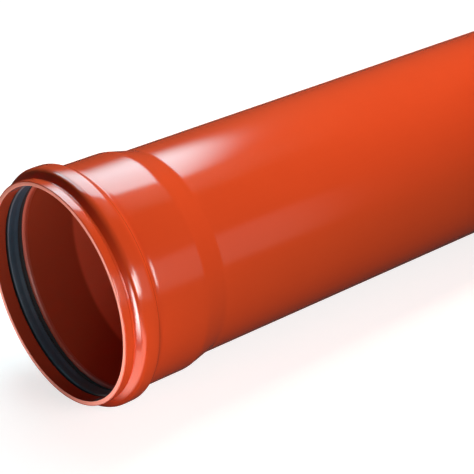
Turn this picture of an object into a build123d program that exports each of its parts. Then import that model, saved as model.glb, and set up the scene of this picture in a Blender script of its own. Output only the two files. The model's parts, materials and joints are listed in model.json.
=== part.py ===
from build123d import *
import os
from math import radians, tan

# A straight length of plastic sewer pipe, nominal size 315, with a push-fit socket
# formed on one end and a chamfered spigot on the other, and the rubber ring that
# seals the socket.
#
# The pipe's axis is +Y. The origin is the centre of the socket's mouth, the mouth
# faces -Y and the spigot points to +Y. All sizes are in millimetres. A station is a
# distance from the mouth along the axis.

# Barrel
outside_radius = 157.5
barrel_wall = 9.2
laying_length = 1000.0
chamfer_length = 13.0
chamfer_angle = 15.0

# Socket, expanded from the barrel to take the next pipe's spigot
spigot_clearance = 0.9
insertion_depth = 138.0
socket_wall = 8.5
shoulder_angle = 15.0
shoulder_rounding = 35.0
shoulder_end_rounding = 30.0

# Lip in front of the bead, and the valley between them
lip_wall = 6.9
lip_length = 12.8
rim_chamfer = 0.8
lead_in = 1.6
valley_depth = 1.6
valley_width = 3.0

# Bead, hollow inside for the ring
bead_height = 20.2
bead_width = 30.0
bead_crown = 0.4
bead_front_lean = 3.5
bead_front_rounding = 7.0
bead_back_lean = 6.0
bead_back_rounding = 9.0
bead_foot_rounding = 7.0

# Groove inside the bead
groove_wall = 6.4
groove_front_set_in = 4.2
groove_back_set_in = 7.0
groove_front_lean = 5.0
groove_back_lean = 3.0
groove_corner = 2.5
groove_edge = 2.0

# Rubber ring
ring_gap = 0.3
ring_proud = 0.5
ring_corner = 3.5
ring_foot_height = 2.0
ring_slot_depth = 10.0
ring_slot_rise = 6.6
ring_lip_set_in = 7.3
ring_lip_thickness = 3.4
ring_lip_slant = 2.5
ring_lip_nose = 0.8
ring_hollow = 1.7
ring_heel_length = 6.0
ring_heel_set_in = 2.5

# Radii and stations that follow
bore_radius = outside_radius - barrel_wall
total_length = insertion_depth + laying_length
socket_radius = outside_radius + spigot_clearance
socket_outside = socket_radius + socket_wall
lip_outside = socket_radius + lip_wall
valley_radius = lip_outside - valley_depth
valley_start = lip_length + valley_depth
bead_radius = outside_radius + bead_height
bead_edge_radius = bead_radius - bead_crown
bead_foot_front = lip_length + valley_width
bead_front = bead_foot_front + bead_front_lean
bead_back = bead_front + bead_width
bead_foot_back = bead_back + bead_back_lean
bead_crown_rounding = bead_width**2 / (16 * bead_crown)
groove_radius = bead_radius - groove_wall
groove_height = groove_radius - socket_radius
groove_front = bead_foot_front + groove_front_set_in
groove_back = bead_foot_back - groove_back_set_in
shoulder_slope = tan(radians(shoulder_angle))
shoulder_start = insertion_depth + socket_wall * tan(radians(shoulder_angle / 2))
shoulder_end = shoulder_start + (socket_outside - outside_radius) / shoulder_slope
bore_start = insertion_depth + (socket_radius - bore_radius) / shoulder_slope
chamfer_start = total_length - chamfer_length
nose_radius = outside_radius - chamfer_length * tan(radians(chamfer_angle))


def turned(corners, name):
    """Turn a closed section about the pipe's axis.

    Each corner is its radius, its station and the rounding of that corner.
    """
    points = [(radius, station) for radius, station, rounding in corners]
    roundings = [rounding for radius, station, rounding in corners]
    outline = FilletPolyline(*points, radius=roundings, close=True)
    solid = revolve(make_face(outline), axis=Axis.Y)
    solid.label = name
    return solid


def groove_front_wall(radius):
    """Station of the groove's leaning front wall at a radius."""
    return groove_front + groove_front_lean * (radius - socket_radius) / groove_height


def groove_back_wall(radius):
    """Station of the groove's leaning back wall at a radius."""
    return groove_back - groove_back_lean * (radius - socket_radius) / groove_height


def make_pipe():
    """One wall from the mouth to the spigot, expanded at the socket and its bead."""
    outer = [
        (lip_outside - rim_chamfer, 0.0, 0.0),
        (lip_outside, rim_chamfer, 0.0),
        (lip_outside, lip_length, 0.0),
        (valley_radius, valley_start, 0.0),
        (valley_radius, bead_foot_front, 0.0),
        (bead_edge_radius, bead_front, bead_front_rounding),
        (bead_radius, (bead_front + bead_back) / 2, bead_crown_rounding),
        (bead_edge_radius, bead_back, bead_back_rounding),
        (socket_outside, bead_foot_back, bead_foot_rounding),
        (socket_outside, shoulder_start, shoulder_rounding),
        (outside_radius, shoulder_end, shoulder_end_rounding),
        (outside_radius, chamfer_start, 0.0),
        (nose_radius, total_length, 0.0),
    ]
    corner_radius = groove_radius - groove_corner
    edge_radius = socket_radius + groove_edge
    inner = [
        (bore_radius, total_length, 0.0),
        (bore_radius, bore_start, 0.0),
        (socket_radius, insertion_depth, shoulder_rounding),
        (socket_radius, groove_back + groove_edge, 0.0),
        (edge_radius, groove_back_wall(edge_radius), 0.0),
        (corner_radius, groove_back_wall(corner_radius), 0.0),
        (groove_radius, groove_back_wall(groove_radius) - groove_corner, 0.0),
        (groove_radius, groove_front_wall(groove_radius) + groove_corner, 0.0),
        (corner_radius, groove_front_wall(corner_radius), 0.0),
        (socket_radius, groove_front, 0.0),
        (socket_radius, lead_in, 0.0),
        (socket_radius + lead_in, 0.0, 0.0),
    ]
    return turned(outer + inner, "pipe")


def make_seal_ring():
    """Lip seal: a heel and a foot held by the groove, and a lip that bends inward."""
    inside = socket_radius - ring_proud
    outside = groove_radius - ring_gap
    corner_radius = outside - ring_corner
    foot_inside = corner_radius - ring_foot_height
    front_gap = ring_gap * (groove_height**2 + groove_front_lean**2) ** 0.5 / groove_height
    back_gap = ring_gap * (groove_height**2 + groove_back_lean**2) ** 0.5 / groove_height
    heel_radius = inside + ring_heel_set_in
    heel = groove_front_wall(heel_radius) + front_gap
    heel_front = heel + ring_heel_set_in
    heel_end = heel_front + ring_heel_length
    foot_back = groove_back_wall(foot_inside) - back_gap
    lip_end = groove_back - ring_lip_set_in
    section = [
        (inside, heel_front, 0.0),
        (heel_radius, heel, 0.0),
        (corner_radius, groove_front_wall(corner_radius) + front_gap, 0.0),
        (outside, groove_front_wall(outside) + front_gap + ring_corner, 0.0),
        (outside, groove_back_wall(outside) - back_gap - ring_corner, 0.0),
        (corner_radius, groove_back_wall(corner_radius) - back_gap, 0.0),
        (foot_inside, foot_back, 0.0),
        (inside + ring_slot_rise, foot_back - ring_slot_depth, 0.0),
        (inside + ring_lip_thickness, lip_end + ring_lip_slant, 0.0),
        (inside + ring_lip_nose, lip_end + ring_lip_nose, 0.0),
        (inside, lip_end - ring_lip_nose, 0.0),
        (inside + ring_hollow, (heel_end + lip_end) / 2, 0.0),
        (inside, heel_end, 0.0),
    ]
    return turned(section, "seal_ring")


os.makedirs("parts", exist_ok=True)
for piece in (make_pipe(), make_seal_ring()):
    export_step(piece, f"parts/{piece.label}.step")
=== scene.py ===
import json
from math import cos, pi, radians, sin, tan

import bmesh
import bpy
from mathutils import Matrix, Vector


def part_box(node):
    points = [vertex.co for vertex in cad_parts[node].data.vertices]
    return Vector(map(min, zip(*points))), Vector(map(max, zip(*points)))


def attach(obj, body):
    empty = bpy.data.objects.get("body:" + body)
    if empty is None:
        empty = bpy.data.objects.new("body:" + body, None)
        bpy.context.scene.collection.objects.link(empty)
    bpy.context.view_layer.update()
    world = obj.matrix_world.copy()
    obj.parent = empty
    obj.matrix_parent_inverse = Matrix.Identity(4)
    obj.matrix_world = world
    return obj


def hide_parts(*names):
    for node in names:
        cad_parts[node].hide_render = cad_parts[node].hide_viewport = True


# Looks for a socketed sewer pipe that lies on its side. Metres throughout. The pipe's
# axis is +Y, the socket's mouth is at y = 0 and faces -Y, and a station is a distance
# from the mouth along the axis.

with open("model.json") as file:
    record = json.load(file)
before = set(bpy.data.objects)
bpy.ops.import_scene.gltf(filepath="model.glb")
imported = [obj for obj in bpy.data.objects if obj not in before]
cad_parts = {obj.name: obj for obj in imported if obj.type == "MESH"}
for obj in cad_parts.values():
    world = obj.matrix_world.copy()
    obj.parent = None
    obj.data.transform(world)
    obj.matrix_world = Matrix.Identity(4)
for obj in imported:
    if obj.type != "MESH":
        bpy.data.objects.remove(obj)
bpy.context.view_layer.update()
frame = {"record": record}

mm = 0.001
mounts = {mount["name"]: mount["dims"] for mount in frame["record"]["mounts"]}
pipe_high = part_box("pipe")[1]

# Sizes that the frame gives
barrel_radius = mounts["spigot"]["r_mm"] * mm
bore_radius = mounts["pipe_bore"]["r_mm"] * mm
socket_radius = mounts["socket"]["r_mm"] * mm
insertion_depth = mounts["socket"]["length_mm"] * mm
bead_radius = pipe_high.x
total_length = pipe_high.y
barrel_wall = barrel_radius - bore_radius

# Lip, and the valley behind it
rim_rounding = 1.0 * mm
lead_in = 0.6 * mm
lip_wall = 6.9 * mm
lip_length = 11.6 * mm
lip_rounding = 0.8 * mm
valley_depth = 1.6 * mm
valley_width = 4.6 * mm
valley_front_rounding = 0.6 * mm
valley_back_rounding = 0.8 * mm

# Bead with a bowed front wall, and the shallow neck behind it
bead_crown = 0.4 * mm
bead_width = 25.2 * mm
bead_front_lean = 6.6 * mm
bead_front_bow = 0.45 * mm
bead_front_bow_rounding = 35.0 * mm
bead_front_rounding = 9.5 * mm
bead_back_lean = 8.0 * mm
bead_back_rounding = 9.0 * mm
neck_set_forward = 0.4 * mm
neck_depth = 1.1 * mm
neck_rounding = 8.0 * mm
neck_run_out = 9.0 * mm
neck_run_out_rounding = 35.0 * mm

# Socket and shoulder
socket_wall = 8.5 * mm
shoulder_angle = radians(15.0)
shoulder_slope = tan(shoulder_angle)
shoulder_rounding = 35.0 * mm
shoulder_run_out = 4.0 * mm
shoulder_end_rounding = 28.0 * mm
bore_start_rounding = 25.0 * mm

# Spigot
chamfer_length = 13.0 * mm
chamfer_slope = tan(radians(15.0))
spigot_rounding = 0.4 * mm

# Groove inside the bead
groove_wall = 6.4 * mm
groove_front_set_in = 3.8 * mm
groove_front_lean = 5.0 * mm
groove_front_rounding = 1.0 * mm
groove_back_set_in = 7.7 * mm
groove_back_lean = 3.0 * mm
groove_back_run_out = 3.0 * mm
groove_back_rounding = 6.0 * mm
groove_corner = 4.0 * mm

# Ring in the groove
ring_proud = 0.5 * mm
ring_gap = 0.3 * mm

# Stations and radii that follow
lip_outside = socket_radius + lip_wall
valley_radius = lip_outside - valley_depth
bead_foot_front = lip_length + valley_width
bead_front = bead_foot_front + bead_front_lean
bead_back = bead_front + bead_width
bead_middle = (bead_front + bead_back) / 2
bead_foot_back = bead_back + bead_back_lean
groove_radius = bead_radius - groove_wall
groove_front = bead_foot_front + groove_front_set_in
groove_back = bead_foot_back - groove_back_set_in
socket_outside = socket_radius + socket_wall
bore_start = insertion_depth + (socket_radius - bore_radius) / shoulder_slope
chamfer_start = total_length - chamfer_length

# How finely a section's roundings and the turn about the axis are cut into facets
spin_steps = 288
facet_turn = radians(9.0)
wide_rounding = 20.0 * mm
wide_facet_turn = radians(3.0)
sharp_corner = radians(32.0)
weld_distance = 0.01 * mm


# Meshes

def rounded_section(corners):
    """A closed outline in the plane of the axis, from (radius, station, rounding)."""
    bm = bmesh.new()
    ring = [bm.verts.new((radius, station, 0.0)) for radius, station, rounding in corners]
    bm.faces.new(ring)
    jobs = []
    for k, (radius, station, rounding) in enumerate(corners):
        if rounding > 0.0:
            before = ring[k - 1].co - ring[k].co
            after = ring[(k + 1) % len(ring)].co - ring[k].co
            turn = pi - before.angle(after)
            facet = wide_facet_turn if rounding > wide_rounding else facet_turn
            segments = max(2, round(turn / facet))
            jobs.append((ring[k], rounding * tan(turn / 2), segments))
    for vertex, offset, segments in jobs:
        bmesh.ops.bevel(
            bm, geom=[vertex], offset=offset, offset_type="OFFSET", segments=segments,
            profile=0.5, affect="VERTICES", material=-1, clamp_overlap=True,
        )
    bmesh.ops.delete(bm, geom=bm.faces[:], context="FACES_ONLY")
    return bm


def turned_piece(name, corners):
    """The section turned once about the pipe's axis, as a shaded object."""
    bm = rounded_section(corners)
    bmesh.ops.spin(
        bm, geom=bm.verts[:] + bm.edges[:], cent=(0, 0, 0), axis=(0, 1, 0),
        angle=2 * pi, steps=spin_steps, use_merge=True, use_duplicate=False,
    )
    bmesh.ops.remove_doubles(bm, verts=bm.verts, dist=weld_distance)
    bmesh.ops.recalc_face_normals(bm, faces=bm.faces)
    for face in bm.faces:
        face.smooth = True
    for edge in bm.edges:
        if len(edge.link_faces) == 2 and edge.calc_face_angle() > sharp_corner:
            edge.smooth = False
    return linked_object(name, bm)


def linked_object(name, bm):
    """An object of the scene with the finished mesh."""
    mesh = bpy.data.meshes.new(name)
    bm.to_mesh(mesh)
    bm.free()
    made = bpy.data.objects.new(name, mesh)
    bpy.context.scene.collection.objects.link(made)
    return made


def pipe_section():
    """The pipe's wall: lip, valley, bead, neck, socket, shoulder, barrel, back inside."""
    bead_edge = bead_radius - bead_crown
    crown_rounding = bead_width**2 / (16 * bead_crown)
    bow_radius = (valley_radius + bead_edge) / 2
    bow = (bead_foot_front + bead_front) / 2 - bead_front_bow
    neck_radius = socket_outside - neck_depth
    neck = bead_foot_back - neck_set_forward
    shoulder_start = insertion_depth + socket_wall * tan(shoulder_angle / 2)
    shoulder_drop = socket_outside - barrel_radius
    shoulder_end = shoulder_start + shoulder_drop / shoulder_slope + shoulder_run_out
    nose_radius = barrel_radius - chamfer_length * chamfer_slope
    outside = [
        (lip_outside, 0.0, rim_rounding),
        (lip_outside, lip_length, lip_rounding),
        (valley_radius, lip_length + valley_depth, valley_front_rounding),
        (valley_radius, bead_foot_front, valley_back_rounding),
        (bow_radius, bow, bead_front_bow_rounding),
        (bead_edge, bead_front, bead_front_rounding),
        (bead_radius, bead_middle, crown_rounding),
        (bead_edge, bead_back, bead_back_rounding),
        (neck_radius, neck, neck_rounding),
        (socket_outside, neck + neck_run_out, neck_run_out_rounding),
        (socket_outside, shoulder_start, shoulder_rounding),
        (barrel_radius, shoulder_end, shoulder_end_rounding),
        (barrel_radius, chamfer_start, spigot_rounding),
        (nose_radius, total_length, spigot_rounding),
    ]
    inside = [
        (bore_radius, total_length, spigot_rounding),
        (bore_radius, bore_start, bore_start_rounding),
        (socket_radius, insertion_depth, shoulder_rounding),
        (socket_radius, groove_back + groove_back_run_out, groove_back_rounding),
        (groove_radius, groove_back - groove_back_lean, groove_corner),
        (groove_radius, groove_front + groove_front_lean, groove_corner),
        (socket_radius, groove_front, groove_front_rounding),
        (socket_radius, 0.0, lead_in),
    ]
    return outside + inside


def seal_section():
    """The rubber ring's lip seal, form by form, from the heel in front round to the hollow."""
    inside = socket_radius - ring_proud
    outside = groove_radius - ring_gap
    heel = [
        (inside, 24.6 * mm, 1.4 * mm),
        (inside + 2.8 * mm, 23.6 * mm, 1.2 * mm),
    ]
    foot = [
        (outside, 25.6 * mm, 4.5 * mm),
        (outside, 44.8 * mm, 4.5 * mm),
    ]
    leg = [
        (inside + 2.6 * mm, 50.0 * mm, 0.4 * mm),
        (inside + 3.4 * mm, 48.4 * mm, 0.4 * mm),
    ]
    slot = [
        (outside - 4.5 * mm, 43.6 * mm, 0.8 * mm),
        (inside + 6.6 * mm, 36.3 * mm, 1.0 * mm),
        (inside + 3.4 * mm, 43.5 * mm, 0.8 * mm),
    ]
    lip = [(inside, 41.0 * mm, 1.4 * mm)]
    hollow = [
        (inside + 0.7 * mm, 35.0 * mm, 6.0 * mm),
        (inside, 29.3 * mm, 1.5 * mm),
    ]
    return heel + foot + leg + slot + lip + hollow


pipe = turned_piece("pipe_wall", pipe_section())
seal = turned_piece("rubber_seal", seal_section())
for piece, node in ((pipe, "pipe"), (seal, "seal_ring")):
    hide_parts(node)
    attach(piece, "root")


# Materials

class Socket:
    """A node's output, with arithmetic that adds Math nodes."""

    def __init__(self, maker, output):
        self.maker = maker
        self.output = output

    def math(self, operation, *values):
        return self.maker.node("ShaderNodeMath", {"operation": operation}, dict(enumerate(values)))

    def __add__(self, other):
        return self.math("ADD", self, other)

    def __sub__(self, other):
        return self.math("SUBTRACT", self, other)

    def __rsub__(self, other):
        return self.math("SUBTRACT", other, self)

    def __mul__(self, other):
        return self.math("MULTIPLY", self, other)

    __radd__ = __add__
    __rmul__ = __mul__


class Finish:
    """A material, or the world, and its nodes."""

    def __init__(self, name, owner=None):
        self.owner = owner or bpy.data.materials.new(name)
        self.owner.use_nodes = True
        self.tree = self.owner.node_tree
        self.tree.nodes.clear()

    def node(self, kind, settings=None, values=None, out=0):
        """Adds a node: first its settings, then the values or links of its sockets."""
        made = self.tree.nodes.new(kind)
        for key, value in (settings or {}).items():
            setattr(made, key, value)
        for key, value in (values or {}).items():
            if isinstance(value, Socket):
                self.tree.links.new(value.output, made.inputs[key])
            else:
                made.inputs[key].default_value = value
        return Socket(self, made.outputs[out]) if made.outputs else made

    def vector_math(self, operation, first, second=None, out="Value"):
        values = {0: first} if second is None else {0: first, 1: second}
        return self.node("ShaderNodeVectorMath", {"operation": operation}, values, out)

    def place(self):
        return self.node("ShaderNodeTexCoord", out="Object")

    def along(self, point, direction):
        """How far a point lies along a direction."""
        return self.vector_math("DOT_PRODUCT", point, tuple(direction))

    def off_axis(self, point):
        """How far a point lies from the pipe's axis."""
        across = self.vector_math("MULTIPLY", point, (1, 0, 1), out="Vector")
        return self.vector_math("LENGTH", across)

    def step(self, value, start, end):
        """0 at start and 1 at end, with a smooth rise or fall between them."""
        return self.node(
            "ShaderNodeMapRange", {"interpolation_type": "SMOOTHSTEP"},
            {"Value": value, "From Min": start, "From Max": end, "To Min": 0.0, "To Max": 1.0},
        )

    def mix(self, factor, first, second):
        """A blend of two colours, by the node's sockets for colours."""
        return self.node(
            "ShaderNodeMix", {"data_type": "RGBA"}, {0: factor, 6: first, 7: second}, out=2
        )

    def noise(self, point, scale, detail, roughness):
        return self.node("ShaderNodeTexNoise", None, {
            "Vector": point, "Scale": scale, "Detail": detail, "Roughness": roughness,
        })

    def bump(self, height, strength, distance):
        return self.node("ShaderNodeBump", None, {
            "Height": height, "Strength": strength, "Distance": distance,
        })

    def plastic(self, colour, roughness, normal, refraction):
        return self.node("ShaderNodeBsdfPrincipled", None, {
            "Base Color": colour, "Roughness": roughness, "Normal": normal, "IOR": refraction,
        })

    def matt(self, colour):
        return self.node("ShaderNodeBsdfDiffuse", None, {"Color": (*colour, 1)})

    def glow(self, colour, strength):
        return self.node("ShaderNodeEmission", None, {"Color": colour, "Strength": strength})

    def choose(self, factor, first, second):
        """The first shader where the factor is 0 and the second where it is 1."""
        return self.node("ShaderNodeMixShader", None, {0: factor, 1: first, 2: second})

    def output(self, shader):
        kind = "World" if isinstance(self.owner, bpy.types.World) else "Material"
        self.node("ShaderNodeOutput" + kind, None, {"Surface": shader})
        return self.owner


def plastic_finish():
    """Orange-brown plastic: faint drawn lines; a darker, browner inside, partly dust and partly
    painted shade, painted lighter past the insertion depth as painted light; a pale rim and
    chamfer of cut plastic, the rim's pale face partly a painted highlight.
    """
    dim_orange, bright_orange = (0.63, 0.052, 0.0110, 1), (0.67, 0.059, 0.0130, 1)
    line_orange = (0.51, 0.042, 0.009, 1)
    socket_dust_and_shade, bore_painted_light = (0.45, 0.064, 0.028, 1), (0.72, 0.110, 0.052, 1)
    pale_cut_and_painted_highlight = (0.90, 0.29, 0.21, 1)
    gloss, cut_dulls, rubbed_dulls = 0.15, 0.25, 0.35

    m = Finish("orange_brown_plastic")
    point = m.place()
    station = m.along(point, (0, 1, 0))
    radius = m.off_axis(point)

    # Lines drawn out along the axis, and soft clouds of colour
    drawn = m.node("ShaderNodeMapping", None, {"Vector": point, "Scale": (1.0, 0.02, 1.0)})
    lines = m.noise(drawn, 420.0, 3.0, 0.6)
    clouds = m.noise(point, 9.0, 2.0, 0.5)
    body = m.mix(clouds, dim_orange, bright_orange)
    body = m.mix((lines - 0.5) * 0.25, body, line_orange)

    # The inside ends in the middle of the wall, whose radius drops along the shoulder
    wall_drop = (socket_wall - barrel_wall) / 2 + socket_radius - bore_radius
    level = radius + m.step(station, insertion_depth, bore_start) * wall_drop
    inside = 1.0 - m.step(level, socket_radius + 2.5 * mm, socket_radius + 5 * mm)
    # The inside is darker and browner, partly dust and partly painted shade; past the insertion
    # depth, where the shoulder's inside faces the mouth, it is painted lighter: painted light
    painted_light_past = m.step(station, insertion_depth - 3 * mm, insertion_depth + 3 * mm)
    body = m.mix(inside, body, m.mix(painted_light_past, socket_dust_and_shade, bore_painted_light))

    # The rim's sawn face, the turned chamfer, and the edge that the ring's groove ends in. Cut
    # faces are paler; on the rim's face the pale colour is partly a painted highlight
    face = 1.0 - m.step(radius, lip_outside - 2.4 * mm, lip_outside - 1.2 * mm)
    sawn_rim_and_painted_highlight = (1.0 - m.step(station, 0.3 * mm, 1.2 * mm)) * face
    cut_and_rim_highlight = sawn_rim_and_painted_highlight + m.step(station, chamfer_start, chamfer_start + 0.5 * mm)
    groove_edge = m.step(station, groove_back - 4 * mm, groove_back - 1 * mm)
    past_edge = m.step(station, groove_back + 6 * mm, groove_back + 12 * mm)
    rubbed = groove_edge * (1.0 - past_edge) * inside

    # Paler cut plastic on the chamfer and the rim; on the rim it is also a painted highlight
    colour = m.mix(cut_and_rim_highlight, body, pale_cut_and_painted_highlight)
    roughness = gloss + (lines - 0.5) * 0.05 + cut_and_rim_highlight * cut_dulls + rubbed * rubbed_dulls
    return m.output(m.plastic(colour, roughness, m.bump(lines, 0.06, 0.02 * mm), 1.5))


def rubber_finish():
    """Blue-black moulded rubber with a thin film of lubricant; deeper in the slot it is dull, and
    its colour goes black as painted shade.
    """
    thin_film, thick_film = (0.027, 0.068, 0.108, 1), (0.040, 0.096, 0.150, 1)
    slot_painted_shade = (0.010, 0.011, 0.014, 1)
    sheen, film_dulls, slot_dulls = 0.42, 0.12, 0.35

    m = Finish("seal_rubber")
    point = m.place()
    film = m.noise(point, 60.0, 3.0, 0.6)
    # Black deeper in the slot: painted shade
    deep_painted_shade = m.step(m.off_axis(point), socket_radius + 0.4 * mm, socket_radius + 2.0 * mm)
    colour = m.mix(deep_painted_shade, m.mix(film, thin_film, thick_film), slot_painted_shade)
    roughness = sheen + film * film_dulls + deep_painted_shade * slot_dulls
    return m.output(m.plastic(colour, roughness, m.bump(film, 0.1, 0.1 * mm), 1.4))


pipe.data.materials.append(plastic_finish())
seal.data.materials.append(rubber_finish())


# Stage: a floor under the bead and the spigot's end, soft boxes, a dark hood, a pale world

floor_reach = 30.0
hood_radius = 6.0
camera_place = (1.6556, -1.0446, 1.1595)
camera_turn, camera_fall = radians(50.34), radians(28.81)
camera_lens, camera_sensor = 123.37, 36.0

white = (1.0, 1.0, 1.0)
cool_white = (0.82, 1.0, 1.0)
warm_white = (1.0, 0.95, 0.9)
pale_sky = (0.46, 0.88, 0.97)
pale_salmon = (1.0, 0.75, 0.62)
salmon = (1.0, 0.55, 0.46)


def flat_panel(name, corners, material):
    bm = bmesh.new()
    bm.faces.new([bm.verts.new(corner) for corner in corners])
    panel = linked_object(name, bm)
    panel.data.materials.append(material)
    return panel


def ground(x, y, lift=0.0):
    """A point of the floor, which touches the bead and the end of the barrel."""
    fall = (bead_radius - barrel_radius) / (chamfer_start - bead_middle)
    return (x, y, -bead_radius + (y - bead_middle) * fall + lift)


floor_up = (Vector(ground(1, 0)) - Vector(ground(0, 0))).cross(
    Vector(ground(0, 1)) - Vector(ground(0, 0))
).normalized()


def seen(m):
    """1 where the camera looks, straight or by way of a mirror or glass, and else 0."""
    path = [m.node("ShaderNodeLightPath", out=f"Is {kind} Ray") for kind in (
        "Camera", "Glossy", "Transmission",
    )]
    return m.node("ShaderNodeMath", {"operation": "ADD", "use_clamp": True}, {
        0: path[0] + path[1], 1: path[2],
    })


def floor_finish():
    """White where it is seen, with the pipe's shadow, and a dim floor as a light."""
    m = Finish("pale_floor")
    middle = ground(0, total_length / 2)
    away = m.vector_math("DISTANCE", m.place(), middle)
    lit = m.mix(m.step(away, 0.8, 2.4), (0.72, 0.72, 0.72, 1), (1, 1, 1, 1))
    pale = m.node("ShaderNodeAddShader", None, {
        0: m.matt((0.66, 0.47, 0.45)), 1: m.glow(lit, 1.0),
    })
    return m.output(m.choose(seen(m), m.matt((0.10, 0.09, 0.08)), pale))


def add_floor():
    ends = [(-1, -1), (1, -1), (1, 1), (-1, 1)]
    corners = [ground(x * floor_reach, y * floor_reach) for x, y in ends]
    return flat_panel("floor", corners, floor_finish())


def add_hood():
    """A dark hood over the set and the floor. Only the gloss sees it."""
    bm = bmesh.new()
    bmesh.ops.create_uvsphere(bm, u_segments=24, v_segments=12, radius=hood_radius)
    bmesh.ops.bisect_plane(
        bm, geom=bm.verts[:] + bm.edges[:] + bm.faces[:], plane_co=ground(0, 0, 2 * mm),
        plane_no=floor_up, clear_inner=True,
    )
    bmesh.ops.holes_fill(bm, edges=[edge for edge in bm.edges if edge.is_boundary])
    m = Finish("dark_cloth")
    hood = linked_object("dark_hood", bm)
    hood.data.materials.append(m.output(m.glow((0.9, 1.0, 1.0, 1), 0.04)))
    hood.visible_camera = False
    hood.visible_diffuse = False
    hood.visible_transmission = False
    hood.visible_shadow = False


def soft_box(
    name, centre, aim, across, width, height, strength, colour, fades=(0, 0, 0, 0),
    on_gloss=True, on_matt=True,
):
    """A panel that glows towards aim. across is the direction of its width.

    Its light dies away towards its edges: fades gives how far from the low and high end
    of its width and of its height. on_gloss and on_matt say whether surfaces show it in
    their gloss and in their matt colour.
    """
    centre = Vector(centre)
    face = (Vector(aim) - centre).normalized()
    side = (Vector(across) - Vector(across).project(face)).normalized()
    rise = face.cross(side)
    corners = [
        centre + side * (width / 2 * s) + rise * (height / 2 * t)
        for s, t in ((-1, -1), (1, -1), (1, 1), (-1, 1))
    ]
    m = Finish(name)
    level = 1.0
    for direction, reach, low, high in (
        (side, width, fades[0], fades[1]), (rise, height, fades[2], fades[3]),
    ):
        start = centre.dot(direction) - reach / 2
        reached = m.along(m.place(), direction)
        if low:
            level = m.step(reached, start, start + low) * level
        if high:
            level = m.step(reached, start + reach, start + reach - high) * level
    lit = m.mix(level, (0, 0, 0, 1), (*colour, 1)) if any(fades) else (*colour, 1)
    back = m.node("ShaderNodeNewGeometry", out="Backfacing")
    clear = m.node("ShaderNodeBsdfTransparent", None, {"Color": (1, 1, 1, 1)})
    panel = flat_panel(name, corners, m.output(m.choose(back, m.glow(lit, strength), clear)))
    panel.visible_camera = False
    panel.visible_glossy = on_gloss
    panel.visible_diffuse = on_matt


def floor_sheet(name, x, y, lift, **panel):
    """A soft box that lies just over the floor and glows upwards."""
    centre = Vector(ground(x, y, lift))
    soft_box(name, centre, aim=centre + floor_up, across=(1, 0, 0), **panel)


def pale_world():
    """White where it is seen, and a dim room as a light."""
    m = Finish("pale_world", bpy.data.worlds.new("pale_world"))
    level = seen(m) + m.node("ShaderNodeLightPath", out="Is Diffuse Ray") * 0.01
    bpy.context.scene.world = m.output(m.node(
        "ShaderNodeBackground", None, {"Color": (1, 1, 1, 1), "Strength": level},
    ))


def add_camera():
    """The photograph's viewpoint: to the right of the mouth, close, and from above."""
    forward = Vector((
        -sin(camera_turn) * cos(camera_fall), cos(camera_turn) * cos(camera_fall),
        -sin(camera_fall),
    ))
    data = bpy.data.cameras.new("camera")
    data.sensor_width = camera_sensor
    data.lens = camera_lens
    data.clip_end = 100.0
    camera = bpy.data.objects.new("camera", data)
    camera.location = camera_place
    camera.rotation_mode = "QUATERNION"
    camera.rotation_quaternion = forward.to_track_quat("-Z", "Y")
    bpy.context.scene.collection.objects.link(camera)
    bpy.context.scene.camera = camera


add_floor()
add_hood()
pale_world()
add_camera()
# Pale sky light from the upper left, mirrored along the top of the pipe
soft_box(
    "left_box", (-0.962, 0.623, 1.175), aim=(-0.184, -0.169, 0.167), across=(-0.79, 0, -0.61),
    width=1.385, height=1.245, strength=9.3, colour=pale_sky, fades=(0.05, 0.72, 0.1, 0.2),
)
# The same light carried on towards the viewer, for the gloss on the bead's rounding alone
soft_box(
    "left_edge_box", (-0.91, -0.14, 1.26), aim=(0.02, 0.03, 0.17), across=(0.74, -0.36, 0.57),
    width=1.05, height=0.85, strength=9.3, colour=pale_sky, fades=(0.1, 0.1, 0.1, 0.15),
    on_matt=False,
)
# Main light from the right, low enough for the bead's roundings to mirror it
soft_box(
    "side_box", (1.545, 0.32, 0.58), aim=(0.1, 0.05, 0.05), across=(0, 1, 0),
    width=0.72, height=0.74, strength=16.0, colour=cool_white, fades=(0.1, 0.1, 0.15, 0.15),
)
# The same light carried on towards the viewer, for the gloss on the bead's roundings alone
soft_box(
    "edge_box", (1.50, -0.52, 0.50), aim=(0.13, 0.03, 0.05), across=(0, 1, 0),
    width=0.95, height=0.62, strength=24.0, colour=white, fades=(0.3, 0.1, 0.17, 0.17),
    on_matt=False,
)
# Dim light that the barrel's right side mirrors
soft_box(
    "far_box", (1.53, 1.10, 0.44), aim=(0.1, 0.1, 0), across=(0, 1, 0),
    width=1.0, height=1.1, strength=0.6, colour=white, fades=(0.25, 0.3, 0.25, 0.25),
)
# Light from above the spigot's end, for the barrel's top
soft_box(
    "top_box", (-0.1, 1.15, 1.75), aim=(-0.1, 0.45, 0), across=(0, 1, 0),
    width=0.6, height=0.6, strength=22.0, colour=pale_salmon, on_gloss=False,
)
# Warm sheet in front of the mouth, mirrored by the faces that look forward
floor_sheet(
    "front_sheet", -0.05, -0.42, 4 * mm,
    width=1.5, height=0.85, strength=5.4, colour=salmon, fades=(0.5, 0.3, 0.2, 0.05),
    on_matt=False,
)
# Narrow bright card on the floor further in front, for the gloss of the same faces
floor_sheet(
    "card_sheet", 0.165, -1.05, 6 * mm,
    width=0.28, height=1.70, strength=27.0, colour=white, fades=(0.14, 0.14, 0.8, 0.3),
    on_matt=False,
)
# Low light close to the right of the mouth, for the faces that look forward there
soft_box(
    "low_box", (0.38, -0.20, -0.08), aim=(0.14, 0.02, 0.03), across=(1, 0, 0),
    width=0.2, height=0.12, strength=8.0, colour=warm_white, on_gloss=False,
)
# The floor's own bounce in front of the mouth, for the inside's upper left
floor_sheet(
    "bounce_sheet", 0.05, -0.36, 8 * mm,
    width=0.5, height=0.45, strength=2.3, colour=warm_white, on_gloss=False,
)

scene = bpy.context.scene
scene.view_settings.view_transform = "Standard"
